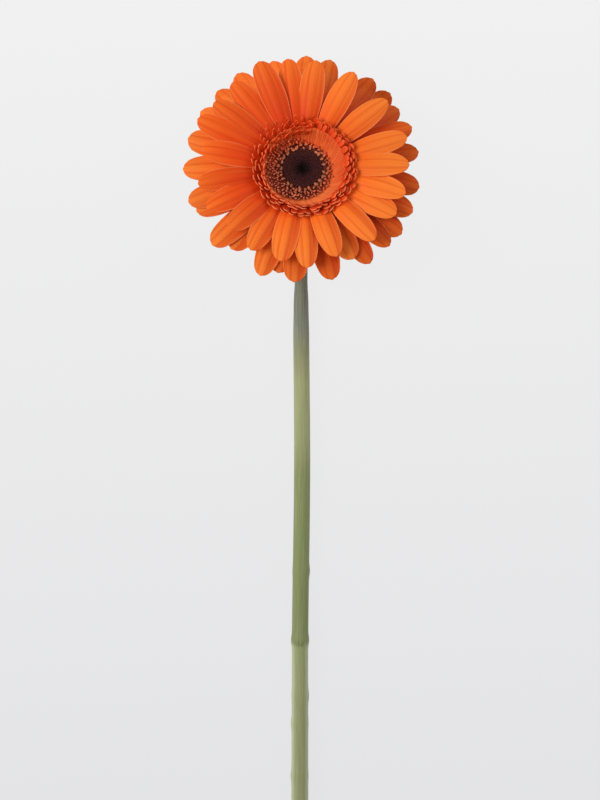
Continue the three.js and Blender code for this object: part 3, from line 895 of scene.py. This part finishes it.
def trans_florets():
    straps = Growth("strap_growth", {"Thickness": TRANS_THICKNESS, "Cup": TRANS_CUP})
    straps.start_blade(across=5, along=7)
    v, level, side = straps.position()
    row = 1 - worked("POWER", greater(0.5 - level, 0), STRAP_CROWDING)
    set_back = STRAP_ROUNDING * smooth(row, 0.5, 1)
    s = row - set_back * v * v
    straps.keep(along=s, across=v)
    stages = ("root", "knee", "tip")
    places = [[straps.carried(f"{stage}_{way}") for way in ("out", "up")] for stage in stages]
    r, h = [(1 - s) * (1 - s) * a + 2 * s * (1 - s) * b + s * s * c for a, b, c in zip(*places)]
    out_by, up_by = [(1 - s) * (b - a) + s * (c - b) for a, b, c in zip(*places)]
    edge = row - set_back
    to_tip = greater((edge - STRAP_WIDEST_AT) / (1 - STRAP_WIDEST_AT), 0)
    oval = worked("POWER", 1 - to_tip**TIP_BLUNTNESS, 1 / TIP_BLUNTNESS)
    swell = STRAP_NECK + (1 - STRAP_NECK) * smooth(edge, 0.2, STRAP_WIDEST_AT)
    half = straps.carried("width") / 2 * swell * oval
    twist = straps.carried("twist") * s
    across = v * half * cosine(twist) + straps.carried("lean") * s * s
    lift = v * half * sine(twist) + straps.size("Cup") * v * v * s + side * straps.size("Thickness") / 2
    slope = worked("ARCTAN2", up_by, out_by)
    on_collar(straps, *lying(straps.carried("azimuth"), r, h, slope, across, lift))
    plants = [plant for row in [*TRANS_ROWS, INNER_ROW] for plant in strap_row(row)]
    straps.grown("collar_straps", plants, strap_finish(), "root", "collar_petals", "trans_florets")

    collar = Growth("collar_growth", {"Relief": TUBE_RELIEF})
    collar.start_rod(around=4 * TUBES, along=16)
    x, y, level = collar.position()
    s = level + 0.5
    azimuth = worked("ARCTAN2", y, x)
    r = between([(at, r) for at, r, _ in COLLAR_WALL], s)
    h = between([(at, h) for at, _, h in COLLAR_WALL], s)
    stray = TUBE_STRAY * sine(azimuth * STRAY_WAVES) + TUBE_STRAY * s * sine(azimuth * RISING_WAVES)
    combed = azimuth - TUBE_COMBING * cosine(azimuth) * s
    tubes = cosine(combed * TUBES + stray)
    bundles = combed * TUBE_BUNDLES - stray
    for waves, height in FOLD_WAVES:
        bundles = bundles + height * sine(combed * waves)
    fold = 0.5 + 0.5 * cosine(bundles)
    ridge = (collar.size("Relief") * (tubes - 1) + FOLD_RELIEF * (fold - 1)) * smooth(s, 0.1, 0.5)
    bulge = BED_BULGE * greater(cosine(azimuth - BULGE_AT), 0) ** 3
    bed = BED_RADIUS + BED_SHIFT * cosine(azimuth - BED_SIDE) + bulge
    collar.keep(along=s, across=combed, around=azimuth, fold=fold, bed=1 - smooth(r - bed, *BED_FADE))
    r = r - ridge * RIDGE_INWARDS
    on_collar(collar, x * r, y * r, h + ridge)
    collar.grown("collar_tubes", [{}], collar_finish(), "root", "collar_petals", "trans_florets")


trans_florets()

# Disc florets: the small open flowers between the collar and the dark middle. Each is a dark slender tube
# that ends in two tan lobes. The innermost ring is the plumpest, and the outer ones thin out up the slope.
DISC_ROWS = [
    {"salt": 21, "count": 23, "radius": 10, "size": 1.22},
    {"salt": 22, "count": 34, "radius": 11.1, "size": 0.9},
    {"salt": 23, "count": 44, "radius": 12.1, "size": 0.75},
    {"salt": 24, "count": 50, "radius": 13.1, "size": 0.7},
    {"salt": 25, "count": 56, "radius": 14.1, "size": 0.68},
    {"salt": 26, "count": 60, "radius": 15.1, "size": 0.66},
    {"salt": 27, "count": 64, "radius": 16.1, "size": 0.64},
    {"salt": 28, "count": 68, "radius": 17.1, "size": 0.62},
]
DISC_SEAT = [(0, 6.1, 10.9), (0.45, 8.9, 14.2), (0.7, 10.2, 14.7), (1, 12.6, 15.2)]
SEAT_RELIEF = 0.1
SEAT_RIBS = 24
DISC_STAND = 1.3
# The outer rows stand only this share of it.
OUTER_STAND = 0.6
TUBE_LENGTH = 2.6
TUBE_RADIUS = 0.46
LOBE_SPREAD = 0.32
DISC_INWARD_LEAN = 0.1
DISC_LEAN_SPREAD = 0.35
DISC_OUT_SPREAD = 0.5
PLUMP_OUT_SPREAD = 0.2
DISC_UP_SPREAD = 0.3
DISC_TURN_SPREAD = 0.35
DISC_SIZE_SPREAD = 0.34
DISC_TONE_SPREAD = 0.22
# Painted light: how much brighter the inner and the outer rows are about an azimuth.
INNER_PAINTED_LIGHT = (0.2, math.radians(100))
OUTER_PAINTED_LIGHT = (0.1, math.radians(110))
# The middle rows are painted warmer towards this azimuth, as light.
DISC_LIT_SIDE = math.radians(60)
INNER_TIPS = [(0, (86, 28, 15)), (0.5, (112, 42, 24)), (0.75, (152, 74, 46)), (1, (190, 112, 78))]
OUTER_TIPS = [(0, (160, 50, 22)), (0.5, (186, 66, 34)), (0.8, (204, 90, 58)), (1, (220, 118, 86))]


def disc_finish():
    finish = Finish("disc_floret_skin", roughness=0.6)
    along, tone, far = finish.carried("along"), finish.carried("tone"), finish.carried("far")
    inner, outer = finish.ramp(along, INNER_TIPS), finish.ramp(along, OUTER_TIPS)
    shade = finish.mix(smooth(far, 0, 0.3), inner, outer)
    # Painted light: warmer towards the lit side.
    shade = finish.mix(0.8 * finish.carried("painted_warmth"), shade, (214, 84, 36))
    shade = finish.brightened(shade, 1 + tone)
    return finish.done(shade)


def slope_height(radius):
    """The height of the collar's inner slope at a radius."""
    for (_, low, below), (_, high, above) in zip(COLLAR_WALL, COLLAR_WALL[1:]):
        if radius <= high:
            return below + (above - below) * (radius - low) / (high - low)


def standing(growth, level, lean, side, fore, up):
    """Places a point of a floret that stands on the disc, from its place about the floret's own middle."""
    azimuth = growth.carried("azimuth")
    r = growth.carried("out") + up * sine(lean) + fore * cosine(lean)
    on_collar(
        growth,
        r * cosine(azimuth) - side * sine(azimuth),
        r * sine(azimuth) + side * cosine(azimuth),
        level + up * cosine(lean) - fore * sine(lean),
    )


def disc_row(n):
    """The numbers of each floret of a row."""
    row = DISC_ROWS[n]
    salt, count = row["salt"], row["count"]
    stand = DISC_STAND * (1 if n < 2 else OUTER_STAND)
    painted_light, light_side = INNER_PAINTED_LIGHT if n < 3 else OUTER_PAINTED_LIGHT
    plants = []
    for i in range(count):
        azimuth = 2 * math.pi * (i + 0.5 * (salt % 2) + DISC_TURN_SPREAD * drawn(i, salt)) / count
        out = row["radius"] + (DISC_OUT_SPREAD if n else PLUMP_OUT_SPREAD) * drawn(i, salt + 5)
        bulge = BED_BULGE * max(math.cos(azimuth - BULGE_AT), 0) ** 3
        if n > 2 and out > BED_RADIUS + BED_SHIFT * math.cos(azimuth - BED_SIDE) + bulge:
            continue
        plants.append(
            {
                "azimuth": azimuth,
                "out": out,
                "level": slope_height(out) + stand + DISC_UP_SPREAD * drawn(i, salt + 7),
                "size": row["size"] * (1 + DISC_SIZE_SPREAD * drawn(i, salt + 13)),
                "lean": DISC_LEAN_SPREAD * drawn(i, salt + 9) - DISC_INWARD_LEAN,
                "turn": math.pi * drawn(i, salt + 11),
                # Random tone, plus painted light about one azimuth.
                "tone": DISC_TONE_SPREAD * drawn(i, salt + 15) + painted_light * math.cos(azimuth - light_side),
                "far": n / (len(DISC_ROWS) - 1),
                # Painted light: warmer towards one azimuth.
                "painted_warmth": (0.5 + 0.5 * math.cos(azimuth - DISC_LIT_SIDE)) * min(n, 2) / 2,
            }
        )
    return plants


def disc_florets():
    discs = Growth("disc_growth", {"Length": TUBE_LENGTH, "Radius": TUBE_RADIUS, "Lobe spread": LOBE_SPREAD})
    discs.start_rod(around=8, along=5, Fill_Segments=1)
    x, y, level = discs.position()
    s = level + 0.5
    discs.keep(along=s)
    size = discs.carried("size")
    body = discs.size("Radius") * (0.6 + 0.6 * smooth(s, 0.4, 0.8) - 0.25 * smooth(s, 0.8, 1)) * size
    lobe = discs.size("Lobe spread") * smooth(s, 0.55, 1) * size
    turn = discs.carried("turn")
    wide, deep = x * body + worked("SIGN", x) * lobe * abs(x) ** 0.5, y * body
    side, fore = wide * cosine(turn) - deep * sine(turn), wide * sine(turn) + deep * cosine(turn)
    up = (s - 0.75) * discs.size("Length") - 0.3 * smooth(s, 0.85, 1) * (1 - abs(x))
    standing(discs, discs.carried("level"), discs.carried("lean"), side, fore, up)
    finish = disc_finish()
    plants = [plant for n in range(len(DISC_ROWS)) for plant in disc_row(n)]
    discs.grown("disc_floret_tips", plants, finish, "root", "disc_tips", "disc_florets")

    seat = Growth("seat_growth", {"Relief": SEAT_RELIEF})
    seat.start_rod(around=4 * SEAT_RIBS, along=12)
    x, y, level = seat.position()
    s = level + 0.5
    r = between([(at, r) for at, r, _ in DISC_SEAT], s)
    h = between([(at, h) for at, _, h in DISC_SEAT], s)
    seat.keep(along=s * 0.3)
    ribs = cosine(worked("ARCTAN2", y, x) * SEAT_RIBS)
    on_collar(seat, x * r, y * r, h + seat.size("Relief") * ribs)
    plain = [{"tone": 0, "far": 0, "painted_warmth": 0}]
    seat.grown("disc_seat", plain, finish, "root", "disc_tips", "disc_florets")


disc_florets()

# Disc buds: the dark unopened florets in the middle, firm and matt, packed in a spiral over a low dome with
# a dimple.
DOME_TOP = [(0, 13.7), (3, 14.5), (6.2, 14.9), (9, 14.5)]
BUDS = 560
BUD_FIELD_RADIUS = 9
BUD_RADIUS = 0.38
BUD_HALF_HEIGHT = 0.8
# The middle buds are the smallest.
BUD_LEAST_SIZE = 0.7
BUD_SIZE_GAIN = 0.35
# Buds lean outwards by this angle for each millimetre from the middle.
BUD_LEAN = 0.02
BUD_TONE_SPREAD = 0.2
DOME_TAPER = 3.1
# Colours by the distance from the middle.
BUD_COLOURS = [(0, (9, 3, 3)), (2, (20, 7, 7)), (5, (62, 28, 28)), (9, (84, 38, 34))]


def bud_finish():
    finish = Finish("disc_bud_skin", roughness=0.6)
    out, tone, cap = finish.carried("out"), finish.carried("tone"), finish.carried("cap")
    shade = finish.mix(0.5 * smooth(cap, 0.2, 1), finish.ramp(out, BUD_COLOURS), (104, 58, 58))
    shade = finish.mix(1 - smooth(out, 0, 4.5), shade, (10, 4, 3))
    return finish.done(finish.brightened(shade, 1 + BUD_TONE_SPREAD * tone))


def disc_buds():
    buds = Growth("bud_growth", {"Radius": BUD_RADIUS})
    buds.start("GeometryNodeMeshUVSphere", Segments=7, Rings=5, Radius=1)
    x, y, z = buds.position()
    out, size = buds.carried("out"), buds.carried("size")
    buds.keep(cap=z)
    side, fore = x * buds.size("Radius") * size, y * buds.size("Radius") * size
    up = z * BUD_HALF_HEIGHT * size
    standing(buds, eased(DOME_TOP, out), out * BUD_LEAN, side, fore, up)
    plants = []
    for i in range(BUDS):
        share = math.sqrt((i + 0.5) / BUDS)
        plants.append(
            {
                "azimuth": i * GOLDEN_ANGLE,
                "out": BUD_FIELD_RADIUS * share,
                "size": BUD_LEAST_SIZE + BUD_SIZE_GAIN * share,
                "tone": drawn(i, 51),
            }
        )
    finish = bud_finish()
    buds.grown("dark_buds", plants, finish, "root", "dark_eye", "disc_buds")

    dome = Growth("dome_growth", {"Rim": BUD_FIELD_RADIUS})
    dome.start_rod(around=64, along=4, Fill_Segments=10)
    x, y, level = dome.position()
    out = worked("SQRT", x * x + y * y) * dome.size("Rim")
    top = smooth(level, -0.5, 0.5)
    wide = dome.size("Rim") - DOME_TAPER * (0.5 - level)
    dome.keep(out=out)
    on_collar(dome, x * wide, y * wide, SEAT + (eased(DOME_TOP, out) - SEAT) * top)
    dome.grown("eye_dome", [{"cap": -1, "tone": 0}], finish, "root", "dark_eye", "disc_buds")


disc_buds()

# Studio: a pale table that glows of itself, so that shadows stay faint, under a dim white sky. A large soft
# light stands at the left and a weaker one at the right, and the camera looks straight down.
TABLE_SIZE = 6
TABLE_BASE = (0.03, 0.03, 0.03, 1)
TABLE_GLOW = 0.97
# The glow is a little dimmer towards the stalk's cut end: a painted falloff of light.
TABLE_COLOURS = [(-140, (227, 227, 229)), (225, (240, 240, 240))]
SKY = 0.33
# Each light's name, its place and size in metres, and its power in watts.
LIGHTS = [("key", (-1.2, 0.3, 1.2), 0.9, 20.5), ("fill", (1.1, 0.7, 0.8), 1, 6)]
LIT_POINT = (0, 0.148, 0.02)
# The first two are metres: the camera's height, and the level that the picture is framed at. The middle and
# the height of the picture at that level are millimetres.
CAMERA_HEIGHT = 2.022
PICTURE_LEVEL = 0.022
PICTURE_MIDDLE = (-0.9, 41.8)
PICTURE_HEIGHT = 366


def studio():
    corners = [(x * TABLE_SIZE / 2, y * TABLE_SIZE / 2, 0) for x, y in ((-1, -1), (1, -1), (1, 1), (-1, 1))]
    mesh = bpy.data.meshes.new("table_top")
    mesh.from_pydata(corners, [], [(0, 1, 2, 3)])
    floor = bpy.data.objects.new("table_top", mesh)
    bpy.context.scene.collection.objects.link(floor)
    finish = Finish("table_paper", roughness=0.9)
    _, along, _ = finish.object_place()
    finish.shader.inputs["Base Color"].default_value = TABLE_BASE
    feed(finish.tree, finish.shader.inputs["Emission Color"], finish.ramp(along, TABLE_COLOURS))
    finish.shader.inputs["Emission Strength"].default_value = TABLE_GLOW
    mesh.materials.append(finish.material)

    world = bpy.data.worlds.new("studio")
    world.use_nodes = True
    sky = world.node_tree.nodes["Background"]
    sky.inputs["Color"].default_value = (1, 1, 1, 1)
    sky.inputs["Strength"].default_value = SKY
    bpy.context.scene.world = world

    for name, place, size, power in LIGHTS:
        light = bpy.data.lights.new(name, "AREA")
        light.energy, light.size = power, size
        lamp = bpy.data.objects.new(name, light)
        lamp.location = place
        aim_x, aim_y, aim_z = [to - at for to, at in zip(LIT_POINT, place)]
        tilt, heading = math.atan2(math.hypot(aim_x, aim_y), -aim_z), math.atan2(aim_y, aim_x)
        lamp.rotation_euler = (tilt, 0, heading - math.pi / 2)
        bpy.context.scene.collection.objects.link(lamp)

    view = bpy.data.cameras.new("camera")
    view.lens = view.sensor_width * (CAMERA_HEIGHT - PICTURE_LEVEL) / (PICTURE_HEIGHT * MM)
    camera = bpy.data.objects.new("camera", view)
    camera.location = (PICTURE_MIDDLE[0] * MM, PICTURE_MIDDLE[1] * MM, CAMERA_HEIGHT)
    bpy.context.scene.collection.objects.link(camera)
    bpy.context.scene.camera = camera
    bpy.context.scene.view_settings.view_transform = "Standard"


studio()
